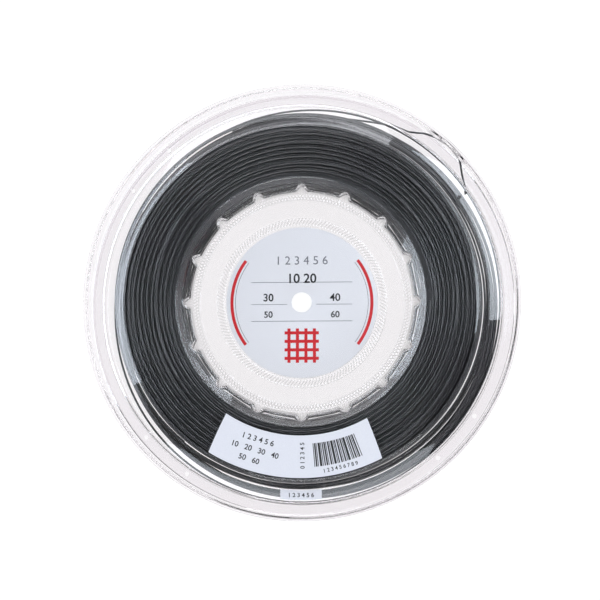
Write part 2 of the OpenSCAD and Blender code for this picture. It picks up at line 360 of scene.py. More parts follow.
def shellOutlines():  # the open side from the bore to the flange, then the string's side back
    line, top = shellLines()
    face, floor, gap = sheet["thick"], sheet["thick"] - knurl["depth"], sheet["weldGap"]
    bore, card, slope = sheet["boreRadius"], sheet["cardRadius"], knurl["slope"]
    openBend = {"up": sheet["tightBend"], "down": sheet["wideBend"]}
    stringBend = {"up": sheet["wideBend"], "down": sheet["tightBend"]}
    corners = sheet["corners"]
    outwards = [(bore, face, sheet["boreBends"][0], 2), (card, face, 0, 1)]
    for inner, outer, _, _ in knurl["bands"]:
        outwards += [(inner, face, 0, 1), (inner + slope, floor, 0, knurl["rows"]),
                     (outer - slope, floor, 0, 1), (outer, face, 0, 1)]
    outwards += [(*point, openBend[way], pieces) for point, (_, _, way, pieces) in zip(top[1:], corners)]
    outwards.append((*top[-1], sheet["edgeBend"], 1))
    backPieces = [1] + [corner[3] for corner in corners[:-1]]
    inwards = [(*line[-1], sheet["edgeBend"], 1)]
    inwards += [(radius, max(height, gap), stringBend[way], pieces)
                for (radius, height, way, _), pieces in reversed(list(zip(corners, backPieces)))]
    inwards += [(sheet["weldEdge"], gap, 0, 1), (card + slope, gap, 0, 1),
                (card, sheet["cardRoom"], 0, 2), (bore, sheet["cardRoom"], sheet["boreBends"][1], 1)]
    return outwards + inwards


def softRise(x):
    return (x + math.hypot(x, flutes["softness"])) / 2


def fluteShift(radius, angle, foot, side):  # how far the foot of the drum wall is pushed out there
    gap = fullTurn / flutes["count"]
    off = abs((angle - math.radians(flutes["start"]) + gap / 2) % gap - gap / 2)
    across = min(1.0, off * foot / side["width"])
    bump = side["reach"] * (0.5 + 0.5 * math.cos(math.pi * across)) ** flutes["rounding"]
    rise = max(0.0, radius - foot)
    rampStart, rampEnd = side["ramp"]
    ramp = max(0.0, min(1.0, (radius - foot + rampStart) / (rampStart - rampEnd)))
    between = 1 - (1 - off / (gap / 2)) ** 2
    drawn = (flutes["pushOut"] - flutes["drawIn"] * between) * max(0.0, 1 - rise / flutes["fade"])
    return ramp * (softRise(bump - rise) - softRise(-rise) + drawn)


def knurlMark(radius, angle):  # 1 in the knurl's pressed strokes, 0 between them and None outside the bands
    for inner, outer, count, ways in knurl["bands"]:
        row = (radius - inner - knurl["slope"]) / (outer - inner - 2 * knurl["slope"]) * knurl["rows"]
        if 0.5 < row < knurl["rows"] - 0.5:
            i = round(angle / fullTurn * count)
            return int(any((i + way * round(row)) % knurl["pitch"] == 0 for way in ways))
    return None


def pointsRound(radius, onOpenSide):
    inner, outer = knurl["bands"]
    if radius > sheet["corners"][1][0] + sheet["wideBend"]:
        return sheet["outerPoints"]
    if radius > (outer[1] + slack if onOpenSide else sheet["weldEdge"] - slack):
        return flutes["points"]
    if not onOpenSide or radius < inner[0] - slack:
        return sheet["webPoints"]
    return outer[2] if radius > outer[0] - slack else inner[2]


def shellRing(radius, height, onOpenSide, foot):
    count = pointsRound(radius, onOpenSide)
    onFloor = onOpenSide and abs(height - sheet["thick"] + knurl["depth"]) < slack
    side = flutes["open" if onOpenSide else "string"]
    ring = []
    for i in range(count):
        angle = fullTurn * i / count
        shift = fluteShift(radius, angle, foot, side) if count == flutes["points"] else 0
        lift = knurl["height"] if onFloor and knurlMark(radius, angle) == 0 else 0
        ring.append(around(angle, radius + shift, height + lift))
    return ring


def paintShadeAndThinning(piece):  # marks the places of a shell that get painted shade (the knurl's strokes, lines round the hub's edge and the rim's fine lines) and where it is drawn thin, with a darker tint painted as shade, for its material
    shadeMarks = piece.data.attributes.new("shadeMarks", "FLOAT", "POINT")
    thinnedAndShaded = piece.data.attributes.new("thinnedAndShaded", "FLOAT", "POINT")
    wallFrom, wallTo = knurl["bands"][1][1], shellLines()[1][2].x
    for i, corner in enumerate(piece.data.vertices):
        place = corner.co / mm
        above = place.z - midHeight / mm
        onOpenSide = corner.normal.z * above > 0
        radius, height = math.hypot(place.x, place.y), abs(above)
        value = 0.0
        # the knurl's pressed strokes get painted shade
        if above > 0 and onOpenSide and knurlMark(radius, math.atan2(place.y, place.x)) == 1:
            value = knurl["strokeShade"]
        # painted shade lines round the hub's edge, on both sides of the sheet
        if wallFrom < radius < wallTo:
            for level, reach, depth in sheet["hubEdgeShade"][onOpenSide]:
                value = max(value, depth * (1 - abs(height - level) / reach))
        # painted shade lines along the drawn rim's bends
        for lineRadius, level, depth in sheet["rimShadeLines"]:
            if math.hypot(radius - lineRadius, height - level) < sheet["lineReach"]:
                value = depth
        # stores how dark the painted shade is at each point
        shadeMarks.data[i].value = value
        # the drawn rim: less glossy, and a darker tint painted as shade
        thinnedAndShaded.data[i].value = 1.0 if radius > sheet["drawnFrom"] else 0.0


def stitch(first, firstCount, second, secondCount):  # faces between two closed rings of points
    faces, i, j = [], 0, 0
    while i < firstCount or j < secondCount:
        a, b = first + i % firstCount, second + j % secondCount
        nextA, nextB = first + (i + 1) % firstCount, second + (j + 1) % secondCount
        if firstCount == secondCount:
            faces.append((a, nextA, nextB, b))
            i, j = i + 1, j + 1
        elif (i + 1) * secondCount <= (j + 1) * firstCount:
            faces.append((a, nextA, b))
            i += 1
        else:
            faces.append((a, nextB, b))
            j += 1
    return faces


def makeShell(name, upwards):
    line, top = shellLines()
    outline = roundedOutline(shellOutlines(), sheet["bendSteps"])
    rimAt = max(range(len(outline)), key=lambda i: outline[i].x)
    points, faces, starts = [], [], []
    for i, (radius, height) in enumerate(outline):
        onOpenSide = i <= rimAt
        ring = shellRing(radius, height, onOpenSide, (top if onOpenSide else line)[1].x)
        starts.append((len(points), len(ring)))
        points += [Vector((p.x, p.y, p.z * upwards)) for p in ring]
    for i, (start, count) in enumerate(starts):
        faces += stitch(start, count, *starts[(i + 1) % len(starts)])
    return meshObject(name, aboveWeld(points), faces, sheet["sharpAngle"])


# Route of the laced end: angle, distance outside the foot of the lip, height above the welded plane.
lacedEnd = {
    "stringRadius": 0.625,
    "sides": 12,
    "leadIn": ((112, -15.6, -2.2), (98, -15.4, -2.0), (86, -14.9, -1.6), (77, -13.6, -1.2),
               (70.5, -11.6, -0.7), (65, -9.3, -0.2)),
    "route": ((60, -7.3, 0), (58, -6.6, 0), (56.4, -5.1, 0.5), (55, -3.8, 2.1),
              (53.6, -2.6, 3.9), (51.8, -1.3, 4.2), (50, -0.1, 4.3), (48, 1.1, 4.4),
              (46, 1.3, 4.4), (44.4, 1, 4.4), (42.6, 0.1, 4.3), (41, -1.6, 3.9),
              (39.5, -3.6, 2.1), (38, -5.4, 0.4), (36.2, -7.2, 0.2), (34.8, -8.9, 0.4),
              (33.6, -10.2, 2.6), (33, -11, 7.6)),
    "steps": 8,
    "slots": (3, 12),        # route points in the two slots of the skirt
    "lipHoles": (6, 10),     # route points in the two holes of the lip
    "tipHoles": (16, 17),    # the band's hole is between these two points
    "holeRadius": 1.125,
    "cutReach": 0.8,         # what a cutter stands out of the sheet on either side
    "slotLength": 6.0,
    "lipHoleLength": 13.0,
    "twinHoleGap": 4.65,
    "spareRadius": 1.45,
    "spareInset": 5.0,
    "sparePairs": (138.6, 228.6, 318.6),
    "spareSpan": 15.3,
}


def routePoint(stop):
    return around(math.radians(stop[0]), sheet["corners"][6][0] + stop[1], stop[2])


def prism(outline, low, high, place):  # an upright block over a flat outline, then moved to its place
    count = len(outline)
    points = [place @ Vector((x, y, z)) for z in (low, high) for x, y in outline]
    faces = [(i, (i + 1) % count, (i + 1) % count + count, i + count) for i in range(count)]
    faces += [tuple(range(count)), tuple(range(count, 2 * count))]
    return points, faces


def roundOutline(radius, length=0.0, steps=16):  # a circle, or a slot with round ends along X
    points = []
    for end in (1, -1):
        for i in range(steps + 1):
            turn = math.pi * (i / steps - 0.5) + (0 if end > 0 else math.pi)
            points.append((end * length / 2 + radius * math.cos(turn), radius * math.sin(turn)))
    return points if length else points[:steps] + points[steps + 1:-1]


def blockMesh(name, blocks):  # one mesh of several prisms
    points, faces = [], []
    for somePoints, someFaces in blocks:
        faces += [tuple(i + len(points) for i in face) for face in someFaces]
        points += somePoints
    return meshObject(name, aboveWeld(points), faces)


def alongRoute(i):
    stops = lacedEnd["route"]
    step = routePoint(stops[i + 1]) - routePoint(stops[i - 1])
    return Matrix.Rotation(math.atan2(step.y, step.x), 4, "Z")


def lacingCutters():
    stops, radius, reach = lacedEnd["route"], lacedEnd["holeRadius"], lacedEnd["cutReach"]
    skirt, band = sheet["corners"][5][1], sheet["corners"][4][1]
    upright, level = [], []

    def cutDown(outline, spot, height, turned=Matrix()):
        place = Matrix.Translation((spot.x, spot.y, height)) @ turned
        upright.append(prism(outline, -reach, sheet["thick"] + reach, place))

    slot = roundOutline(radius, lacedEnd["slotLength"] - 2 * radius)
    for i in lacedEnd["slots"]:
        cutDown(slot, routePoint(stops[i]), skirt, alongRoute(i))
    last, tip = (routePoint(stops[i]) for i in lacedEnd["tipHoles"])
    middle = (last + 2 * tip) / 3
    inwards = Vector((middle.x, middle.y, 0)).normalized()
    for shift in (0, lacedEnd["twinHoleGap"]):
        cutDown(roundOutline(radius), middle - inwards * shift, band)
    spareCircle = sheet["corners"][6][0] - lacedEnd["spareInset"]
    for pair in lacedEnd["sparePairs"]:
        for side in (-0.5, 0.5):
            turn = math.radians(pair + side * lacedEnd["spareSpan"])
            cutDown(roundOutline(lacedEnd["spareRadius"]), around(turn, spareCircle), skirt)
    half = lacedEnd["lipHoleLength"] / 2
    tipped = Matrix.Rotation(math.pi / 2, 4, "Y")
    for i in lacedEnd["lipHoles"]:
        place = Matrix.Translation(routePoint(stops[i])) @ alongRoute(i) @ tipped
        level.append(prism(roundOutline(radius), -half, half, place))
    return [blockMesh("uprightCutters", upright), blockMesh("levelCutters", level)]


def cutHoles(piece, cutters):
    for cutter in cutters:
        cut = piece.modifiers.new("holes", "BOOLEAN")
        cut.solver = "EXACT"
        cut.object = cutter
        settle(piece)
        bpy.data.objects.remove(cutter)
    finishNormals(piece, sheet["sharpAngle"])


clearSheet = clearSheetMaterial(clearLook)
for shellName, node, upwards in (("frontShell", "front_shell", 1), ("rearShell", "rear_shell", -1)):
    shell = makeShell(shellName, upwards)
    if upwards > 0:
        cutHoles(shell, lacingCutters())
    paintShadeAndThinning(shell)
    dress(shell, clearSheet, [node])
    print(shellName, "made:", len(shell.data.polygons), "faces")


# One tree winds every stretch of string. Angles are in degrees and lengths in millimetres.
tubeInputs = {
    "String Radius": 0.625,
    "Sides": 8,
    "Material": None,
}
windingInputs = {
    "Loops": 1.0,
    "Start Angle": 0.0,
    "Start Radius": 100.0,
    "End Radius": 100.0,
    "Start Height": 0.0,
    "End Height": 0.0,
    "Swing": 0.0,            # how far the loops lie to one side
    "Swing Angle": 0.0,
    "Oval": 0.0,             # how far they are drawn out of round
    "Oval Angle": 0.0,
    "Wander": 0.0,           # slow waver to either side
    "Wander Scale": 1.5,
    "Wander Drift": 0.3,     # how much one loop's waver differs from the next one's
    "Seed": 0.0,
    "Sink": 0.0,             # slow waver in height
    "Lift": 0.0,             # how far the middle stands above both ends
    "Straightness": 0.0,     # 1 where they run straight from one corner to the next
    "Corners": 16.0,
    "Steps Per Loop": 144,
}
geometry = {"Geometry": None}


def addTube(tree, curve, given):  # round string along the curve, as plain mesh
    radius = addMath(tree, "MULTIPLY", given["String Radius"], mm)
    profile = addNode(tree, "GeometryNodeCurvePrimitiveCircle", {
        "Resolution": given["Sides"], "Radius": radius})
    tube = addNode(tree, "GeometryNodeCurveToMesh", {
        "Curve": curve, "Profile Curve": profile, "Fill Caps": True})
    smooth = addNode(tree, "GeometryNodeSetShadeSmooth", {"Geometry": tube})
    real = addNode(tree, "GeometryNodeRealizeInstances", {0: smooth})
    finished = addNode(tree, "GeometryNodeSetMaterial", {"Geometry": real, "Material": given["Material"]})
    addNode(tree, "NodeGroupOutput", {0: finished})


def windingTree():
    inputs = {**geometry, **windingInputs, **tubeInputs}
    tree, given = newGroup("stringWinding", "Geometry", inputs, geometry)
    liftShare = 0.12         # share of the turns over which the lift sets in at either end
    sinkPlace = 40.0         # keeps the waver in height apart from the one to the side
    wanderGain = 4.0         # brings the noise to about 1 either way

    def does(operation):
        return lambda *values: addMath(tree, operation, *values)

    plus, minus, times, over = does("ADD"), does("SUBTRACT"), does("MULTIPLY"), does("DIVIDE")
    cosine, radians = does("COSINE"), does("RADIANS")
    steps = times(given["Loops"], given["Steps Per Loop"])
    line = addNode(tree, "GeometryNodeMeshLine", {"Count": plus(steps, 1.0)})
    index = addNode(tree, "GeometryNodeInputIndex")
    along, loop = over(index, steps), over(index, given["Steps Per Loop"])
    angle = minus(radians(given["Start Angle"]), times(loop, fullTurn))
    across, up = cosine(angle), addMath(tree, "SINE", angle)

    def leaning(words, order):  # size * cos(order * (angle - direction))
        off = minus(angle, radians(given[words + " Angle"]))
        return times(given[words], cosine(times(off, order)))

    def waver(words, shift):
        spot = addNode(tree, "ShaderNodeCombineXYZ", {
            0: times(across, given["Wander Scale"]), 1: times(up, given["Wander Scale"])})
        noise = addNode(tree, "ShaderNodeTexNoise", {
            "Vector": spot, "W": plus(plus(given["Seed"], shift), times(loop, given["Wander Drift"])),
            "Scale": 1.0, "Detail": 1.0}, noise_dimensions="4D")
        return times(minus(noise, 0.5), times(given[words], wanderGain))

    def blend(words):
        start, end = given["Start " + words], given["End " + words]
        return plus(start, times(along, minus(end, start)))

    side = over(fullTurn, given["Corners"])
    off = minus(addMath(tree, "FLOORED_MODULO", angle, side), times(side, 0.5))
    straight = minus(over(cosine(times(side, 0.5)), cosine(off)), 1.0)
    radius = times(plus(1.0, times(given["Straightness"], straight)), blend("Radius"))
    radius = plus(plus(radius, leaning("Swing", 1.0)), leaning("Oval", 2.0))
    radius = plus(radius, waver("Wander", 0.0))
    rise = addRange(tree, addMath(tree, "PINGPONG", along, 0.5), 0.0, given["Lift"], end=liftShare,
                    interpolation_type="SMOOTHSTEP")
    height = plus(plus(blend("Height"), rise), waver("Sink", sinkPlace))
    spot = addNode(tree, "ShaderNodeCombineXYZ", {
        0: times(radius, across), 1: times(radius, up), 2: plus(height, midHeight / mm)})
    place = addNode(tree, "ShaderNodeVectorMath", {0: spot, "Scale": mm}, operation="SCALE")
    curve = addNode(tree, "GeometryNodeMeshToCurve", {0: line})
    laid = addNode(tree, "GeometryNodeSetPosition", {"Geometry": curve, "Position": place})
    addTube(tree, laid, given)
    return tree


def routeTree():
    tree, given = newGroup("stringAlongRoute", "Geometry", {**geometry, **tubeInputs}, geometry)
    addTube(tree, addNode(tree, "GeometryNodeMeshToCurve", {0: given["Geometry"]}), given)
    return tree


stringWinding, stringAlongRoute = windingTree(), routeTree()
blackString = plainMaterial("blackString", (0.005, 0.005, 0.006), (0.010, 0.010, 0.012), scale=400,
                            roughness=0.32, bumpHeight=0.0002, ior=2.0, uneven=0.04)


def growString(name, tree, settings, points=((0, 0, 0),), edges=()):  # settings by the tree's own names
    piece = meshObject(name, points, [], edges=edges)
    run = piece.modifiers.new("string", "NODES")
    run.node_group = tree
    settings = {**settings, "Material": blackString}
    for item in tree.interface.items_tree:
        if item.in_out == "INPUT" and item.name in settings:
            run[item.identifier] = settings[item.name]
    return settle(piece)


def turns(loops, radii, heights, start=0, swing=(0, 0), oval=(0, 0), wander=(0, 1.5, 0.3),
          seed=0, sink=0, lift=0, straightness=0):  # in the order of windingInputs
    values = (loops, start, *radii, *heights, *swing, *oval, *wander, seed, sink, lift, straightness)
    return {words: float(value) for words, value in zip(windingInputs, values)}


# The turns that show. The face has a top layer, a second one in its grooves and a few strands across both.
faceWinding = {
    "layers": (                  # loops, radii, height
        (10, (78.6, 106.6), 9.1), (11, (77.2, 108.0), 7.5)),
    "wander": (0.55, 1.15, 0.35),
    "sink": 0.06,
    "crossings": (               # direction of the start, loops, radii
        (200, 0.62, (82.5, 87.5)), (20, 0.7, (95, 90)), (110, 0.55, (98, 103)), (300, 0.5, (86, 90.5))),
    "crossingHeights": (8.2, 9.95),
    "crossingWander": (0.3, 1.5, 0.3),
    "seeds": {1: 3, -1: 17},
}
outerWinding = {
    "side": turns(10, (109.35, 109.35), (6.5, -6.5), wander=(0.12, 1.5, 0.3), sink=0.08),
    "corner": turns(1.6, (107.6, 109.1), (8.35, 7.1), wander=(0.1, 1.5, 0.3)),
}
drumWinding = {
    "foot": turns(1.2, (73.5, 73.5), (2.1, 3.2), straightness=1.1),
    "rise": turns(1.2, (73.5, 73.8), (3.2, 4.4), straightness=0.7),
    "wall": turns(3.8, (73.8, 76.45), (4.4, 8.75)),
}
firstTurns = {                   # pressed against the drum's foot, so they follow its flutes
    "heights": (0.75, -0.75),
    "offWall": 0.66,
    "points": 640,
    "sides": 8,
}
looseWinding = {                 # loops, radii, heights, start, swing, oval, wander, seed
    "topBundle": (3, (112.9, 114.0), (4.5, 3.5), 150, (3.2, -65), (0.85, 90), (0.3, 1.5, 0.6), 5),
    "upperBundle": (3, (114.2, 115.6), (2.2, 1.6), 150, (3.1, -50), (0.8, 90), (0.3, 1.5, 0.6), 9),
    "middleBundle": (3, (115.4, 116.8), (0.1, -0.5), 150, (3.2, -32), (0.5, 90), (0.25, 1.5, 0.6), 14),
    "lowerBundle": (4, (113.0, 116.2), (-2.2, -4.2), 150, (2.9, -48), (0.7, 90), (0.4, 1.5, 0.6), 21),
    "closeTurn": (2, (111.1, 111.4), (4.6, 2.6), 160, (0.35, -70), (0, 0), (0.25, 1.8, 0.4), 31),
    "backTurns": (4, (112.7, 115.0), (2.4, 0.2), 230, (2.5, 97), (0, 0), (0.2, 1.6, 0.5), 37),
    "frontTurns": (3, (113.2, 114.6), (-0.6, -2.6), 200, (1.7, 300), (0, 0), (0.25, 1.6, 0.5), 43),
    "innerTurn": (1, (112.4, 112.4), (3.0, 3.0), 140, (0.9, 345), (0, 0), (0.5, 2.2, 0.3), 12),
    "outermostTurn": (1.04, (119.2, 119.2), (1.2, 0.6), 170, (3, -24), (1.85, 68), (0.15, 1.5, 0.3), 2),
}
core = {
    "corners": ((74.0, -3.2), (75.6, -7.1), (105.0, -7.1), (108.1, -4.6), (108.1, 4.6),
                (105.0, 7.1), (75.6, 7.1), (74.0, 3.2)),
    "bend": 0.8,
    "points": 192,
}


def mirrored(settings):
    return {**settings, **{key: -settings[key] for key in ("Start Height", "End Height", "Lift")}}


def joined(name, pieces):
    work = bmesh.new()
    for piece in pieces:
        work.from_mesh(piece.data)
        bpy.data.objects.remove(piece)
    mesh = bpy.data.meshes.new(name)
    work.to_mesh(mesh)
    work.free()
    mesh.shade_smooth()
    return placeObject(name, mesh)


def wind(name, layers, *nodes):  # one piece of all these turns
    stretches = []
    for layer in layers:
        stretch = growString(name, stringWinding, layer)
        finishNormals(stretch)
        stretch.data.shade_smooth()
        stretches.append(stretch)
    dress(joined(name, stretches), blackString, nodes)


def faceLayers(way):
    spec = faceWinding
    seed, (low, high) = spec["seeds"][way], spec["crossingHeights"]
    layers = [turns(loops, radii, (height, height), wander=spec["wander"], seed=seed, sink=spec["sink"])
              for loops, radii, height in spec["layers"]]
    layers += [turns(loops, radii, (low, low), angle * way, wander=spec["crossingWander"], seed=seed,
                     lift=high - low) for angle, loops, radii in spec["crossings"]]
    return layers if way > 0 else [mirrored(layer) for layer in layers]


def makeLathe(name, corners, bend, count, bendSteps=3):
    outline = roundedOutline([(*corner, bend, 1) for corner in corners], bendSteps)
    points = [around(fullTurn * i / count, *place) for place in outline for i in range(count)]
    faces = []
    for i in range(len(outline)):
        faces += stitch(i * count, count, (i + 1) % len(outline) * count, count)
    return meshObject(name, aboveWeld(points), faces, sharpAngle=40)


pack = makeLathe("windingCore", core["corners"], core["bend"], core["points"])
dress(pack, blackString, ["string_pack"])
wind("frontFaceTurns", faceLayers(1), "string_turns")
wind("rearFaceTurns", faceLayers(-1))
wind("outerTurns", [outerWinding["side"], outerWinding["corner"], mirrored(outerWinding["corner"])])
wind("drumTurns", [layer for turn in drumWinding.values() for layer in (turn, mirrored(turn))])
wind("looseTurns", [turns(*row) for row in looseWinding.values()])
print("string wound")


def smoothRoute(stops, steps):  # a smooth curve through the stops
    path = []
    for i in range(len(stops) - 1):
        a, b = stops[max(i - 1, 0)], stops[i]
        c, d = stops[i + 1], stops[min(i + 2, len(stops) - 1)]
        for k in range(steps):
            t = k / steps
            path.append(0.5 * (2 * b + (c - a) * t + (2 * a - 5 * b + 4 * c - d) * t ** 2
                               + (3 * b - a - 3 * c + d) * t ** 3))
    return path + [stops[-1]]


def stringRun(name, points, sides, closed=False):
    count = len(points)
    edges = [(i, (i + 1) % count) for i in range(count if closed else count - 1)]
    settings = {"String Radius": lacedEnd["stringRadius"], "Sides": sides}
    piece = growString(name, stringAlongRoute, settings, aboveWeld(points), edges)
    finishNormals(piece, sharpAngle=60)
    return piece


def turnAlongWall(height):  # a turn that lies against the drum wall at that height
    foot, top = (Vector(corner[:2]) for corner in sheet["corners"][:2])
    slope = (top - foot).normalized()
    start = foot.x + (firstTurns["offWall"] + abs(height) * slope.x) / slope.y
    points = []
    for i in range(firstTurns["points"]):
        angle = fullTurn * i / firstTurns["points"]
        points.append(around(angle, start + fluteShift(foot.x, angle, foot.x, flutes["string"]), height))
    return points


lacedStops = [routePoint(stop) for stop in lacedEnd["leadIn"] + lacedEnd["route"]]
lacedPiece = stringRun("lacedEnd", smoothRoute(lacedStops, lacedEnd["steps"]), lacedEnd["sides"])
dress(lacedPiece, blackString, ["string_tail"])
dress(joined("firstTurns", [stringRun("first", turnAlongWall(height), firstTurns["sides"], closed=True)
                            for height in firstTurns["heights"]]), blackString)


# Printed card between the hubs. Its marks are plain: two side arcs, rules, numbers and a grid of bars.
label = {
    "radius": 46.3,
    "thick": 0.4,
    "edgeBend": 0.05,
    "points": 192,
    "inkHeight": 0.02,
    "arcs": ((42.0, 43.9), (40.6, 40.9)),        # inner and outer radius of the red ones and the grey ones
    "arcReach": 37,
    "rules": ((-31, 31, 12.4, 0.35), (-31, -9, -1.2, 0.3), (9, 31, -1.2, 0.3), (-31, 31, -11.5, 0.35)),
    "numbers": (("10 20", 0, 14.5, 8.0), ("30", -20.5, 2.8, 6.5), ("40", 20.5, 2.8, 6.5),
                ("50", -20.5, -7.6, 5.5), ("60", 20.5, -7.6, 5.5)),
    "greyNumbers": (("1 2 3 4 5 6", 0, 25.6, 7.4),),
    "gridCentre": (0, -26.5),
    "gridBars": 4,
    "gridPitch": 5.2,
    "gridBar": 1.9,
    "gridLength": 21.0,
    "gridStep": 0.004,       # what the upright bars stand above the level ones
}
boldness = 0.018             # widening of a bold number, as a share of its size


def band(inner, outer, start, end, steps=48):  # flat outline of a stretch of ring, angles in degrees
    angles = [math.radians(start + (end - start) * i / steps) for i in range(steps + 1)]
    return [around(t, outer).xy for t in angles] + [around(t, inner).xy for t in reversed(angles)]


def box(left, right, low, high):
    return [(left, low), (right, low), (right, high), (left, high)]


def inkPiece(name, shapes, height, thick, finish):  # each shape is an outline and its place
    blocks = [prism(outline, height, height + thick, place) for outline, place in shapes]
    dress(blockMesh(name, blocks), finish)


def writeNumbers(words, size, place, thick, weight=boldness):  # place is in millimetres from the spool axis
    curve = bpy.data.curves.new("number", "FONT")
    curve.body = words
    curve.size = size
    curve.offset = size * weight
    curve.extrude = thick / 2
    curve.align_x = curve.align_y = "CENTER"
    holder = placeObject("number", curve)
    mesh = bpy.data.meshes.new_from_object(holder)
    bpy.data.objects.remove(holder)
    mesh.transform(Matrix.Translation((0, 0, midHeight)) @ Matrix.Scale(mm, 4) @ place)
    written = placeObject("number", mesh)
    finishNormals(written)
    return written


labelPaper = plainMaterial("labelPaper", (0.86, 0.85, 0.87), (0.90, 0.89, 0.91), 1800, 0.42, 0.004, coat=0.25)
redInk = plainMaterial("redInk", (0.60, 0.008, 0.014), (0.72, 0.012, 0.020), 2500, 0.4, 0.002)
greyInk = plainMaterial("greyInk", (0.16, 0.16, 0.18), (0.22, 0.22, 0.24), 2500, 0.5, 0.002)
blackInk = plainMaterial("blackInk", (0.010, 0.010, 0.011), (0.022, 0.022, 0.024), 2500, 0.45, 0.002)


def makeLabel(spec):
    half, ink, stay = spec["thick"] / 2, spec["inkHeight"], Matrix()
    bore, radius, reach = sheet["boreRadius"], spec["radius"], spec["arcReach"]
    corners = ((bore, -half), (radius, -half), (radius, half), (bore, half))
    card = makeLathe("labelCard", corners, spec["edgeBend"], spec["points"])
    dress(card, labelPaper, ["label_card"])
    reds, greys = ([(band(*arc, middle - reach, middle + reach), stay) for middle in (0, 180)]
                   for arc in spec["arcs"])
    x, y = spec["gridCentre"]
    long, wide = spec["gridLength"] / 2, spec["gridBar"] / 2
    raised = Matrix.Translation((0, 0, spec["gridStep"]))
    for i in range(spec["gridBars"]):
        off = (i - (spec["gridBars"] - 1) / 2) * spec["gridPitch"]
        reds.append((box(x - long, x + long, y + off - wide, y + off + wide), stay))
        reds.append((box(x + off - wide, x + off + wide, y - long, y + long), raised))
    for left, right, height, wide in spec["rules"]:
        greys.append((box(left, right, height - wide / 2, height + wide / 2), stay))
    inkPiece("labelReds", reds, half, ink, redInk)
    inkPiece("labelGreys", greys, half, ink, greyInk)
    for key, finish, weight in (("numbers", blackInk, boldness), ("greyNumbers", greyInk, 0.0)):
        numbers = [writeNumbers(words, size, Matrix.Translation((x, y, half + ink / 2)), ink, weight)
                   for words, x, y, size in spec[key]]
        dress(joined("label" + key.capitalize(), numbers), finish)


makeLabel(label)

paper = {                    # what both stickers share
    "thick": 0.15,
    "glue": 0.05,
    "inkHeight": 0.02,
}
sticker = {
    "inner": 81.5,
    "outer": 106.9,
    "middle": 268.0,
    "span": 58.6,
    "flare": 2.1,            # what each end gains towards the inner edge
    "rows": 6,
    "columns": 64,
    "numbers": (("1 2 3 4 5 6", 253.0, 87.6, 4.6, 0), ("10   20   30   40", 253.0, 94.0, 4.6, 0),
                ("50   60", 252.0, 100.4, 4.6, 0), ("0 1 2 3 4 5", 270.8, 93.5, 3.6, 90),
                ("1 2 3 4 5 6 7 8 9", 283.5, 103.2, 3.2, 0)),
    "bars": 24,
    "barWidths": (0.45, 0.9, 0.45, 1.35, 0.45, 0.7, 0.9),
    "barGaps": (0.5, 0.35, 0.8, 0.4, 0.6),
    "barsFrom": 275.0,
    "barsInner": 86.5,
    "barsOuter": 100.5,
}
tag = {
    "inner": 114.1,
    "height": 6.0,
    "length": 25.0,
    "rows": 3,
    "columns": 20,
    "numbers": (("1 2 3 4 5 6", 270.0, 117.2, 3.6, 0),),
}
stickerPaper = plainMaterial("stickerPaper", (0.80, 0.79, 0.85), (0.85, 0.84, 0.90), 2200, 0.38, 0.004,
                             coat=0.3)
bottom = 270                 # direction of the camera's lower side, where words stand upright


def openHeight(radius):  # height of the shell's open side at that radius
    top = shellLines()[1]
    for a, b in zip(top, top[1:]):
        if a.x <= radius <= b.x:
            return a.y + (b.y - a.y) * (radius - a.x) / (b.x - a.x)
    return top[-1].y


def sheetOfPaper(name, node, corners):  # corners is a grid of places under the sheet, row by row
    rows, columns = len(corners), len(corners[0])
    size = rows * columns
    points = [Vector((x, y, z + lift)) for lift in (0, paper["thick"]) for row in corners for x, y, z in row]
    faces = [(a, a + 1, a + columns + 1, a + columns) for r in range(rows - 1)
             for c in range(columns - 1) for a in (r * columns + c, r * columns + c + size)]
    edge = [(0, c) for c in range(columns - 1)] + [(r, columns - 1) for r in range(rows - 1)]
    edge += [(rows - 1, c) for c in range(columns - 1, 0, -1)] + [(r, 0) for r in range(rows - 1, 0, -1)]
    ids = [r * columns + c for r, c in edge]
    faces += [(a, b, b + size, a + size) for a, b in zip(ids, ids[1:] + ids[:1])]
    made = meshObject(name, aboveWeld(points), faces, sharpAngle=40)
    dress(made, stickerPaper, [node])


def numbersOnArc(name, numbers):  # each: words, direction, radius, size, turn of the words
    written, ink = [], paper["inkHeight"]
    for words, angle, radius, size, turn in numbers:
        fall = math.atan2(openHeight(radius + 1) - openHeight(radius - 1), 2)
        height = openHeight(radius) + paper["glue"] + paper["thick"] + ink / 2
        place = (Matrix.Rotation(math.radians(angle - bottom), 4, "Z")
                 @ Matrix.Translation((0, -radius, height))
                 @ Matrix.Rotation(-fall, 4, "X") @ Matrix.Rotation(math.radians(turn), 4, "Z"))
        written.append(writeNumbers(words, size, place, ink))
    dress(joined(name, written), blackInk)


def makeSticker(spec):
    grid, columns = [], spec["columns"]
    window = openHeight((spec["inner"] + spec["outer"]) / 2)
    for r in range(spec["rows"] + 1):
        share = r / spec["rows"]
        radius = spec["inner"] + (spec["outer"] - spec["inner"]) * share
        half = spec["span"] / 2 + spec["flare"] * (1 - share)
        grid.append([around(math.radians(spec["middle"] + half * (2 * c / columns - 1)), radius,
                            window + paper["glue"]) for c in range(columns + 1)])
    sheetOfPaper("productSticker", "product_sticker", grid)
    bars, angle = [], spec["barsFrom"]
    widths, gaps = spec["barWidths"], spec["barGaps"]
    for i in range(spec["bars"]):
        half = widths[i % len(widths)] / 2
        bars.append((box(-half, half, -spec["barsOuter"], -spec["barsInner"]),
                     Matrix.Rotation(math.radians(angle - bottom), 4, "Z")))
        step = half + gaps[i % len(gaps)] + widths[(i + 1) % len(widths)] / 2
        angle += math.degrees(step / spec["barsOuter"])
    height = window + paper["glue"] + paper["thick"]
    inkPiece("stickerBars", bars, height, paper["inkHeight"], blackInk)
    numbersOnArc("stickerNumbers", spec["numbers"])


